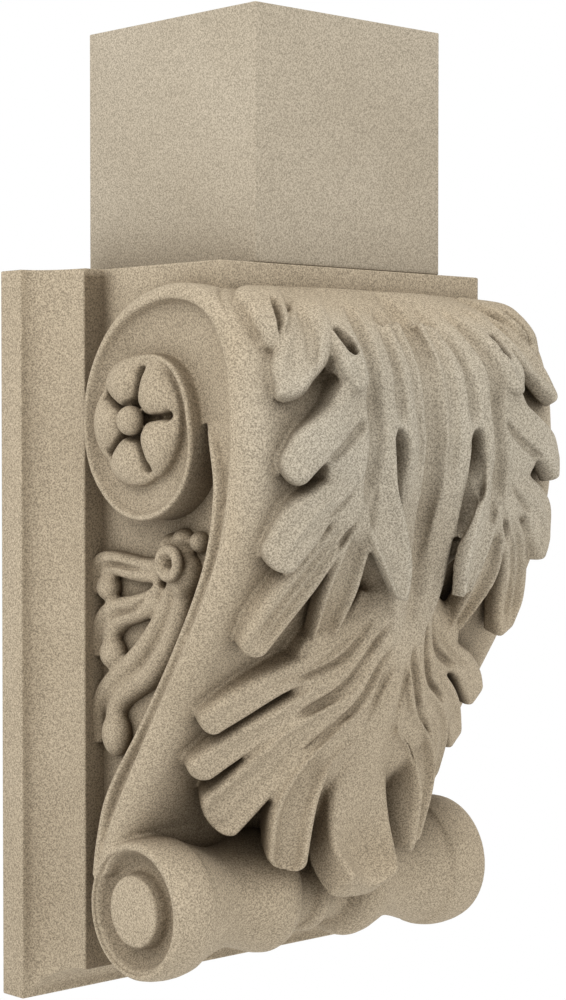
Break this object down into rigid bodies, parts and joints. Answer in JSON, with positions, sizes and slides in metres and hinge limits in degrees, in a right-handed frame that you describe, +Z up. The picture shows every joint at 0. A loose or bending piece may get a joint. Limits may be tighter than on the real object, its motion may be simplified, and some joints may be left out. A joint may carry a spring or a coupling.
{
  "type": "carved stone corbel",
  "caption": "Carved stone corbel: wall plate, scrolled console with rosettes and an acanthus leaf, carrying a plain square block.",
  "frame": {"origin": "centre of the flat back of the wall plate, where it is bedded against the wall", "axes": "+Z up, +Y into the wall, +X to the right of someone facing the corbel; the leaf faces -Y"},
  "size_m": [0.293, 0.2393, 0.6034],
  "materials": {
    "carved_limestone": "matt carved limestone, fine grained, warm buff",
    "block_limestone": "matt sawn limestone, fine grained, warm buff"
  },
  "bodies": {
    "root": {"carved_corbel": "carved_limestone", "top_block": "block_limestone"}
  },
  "joints": []
}
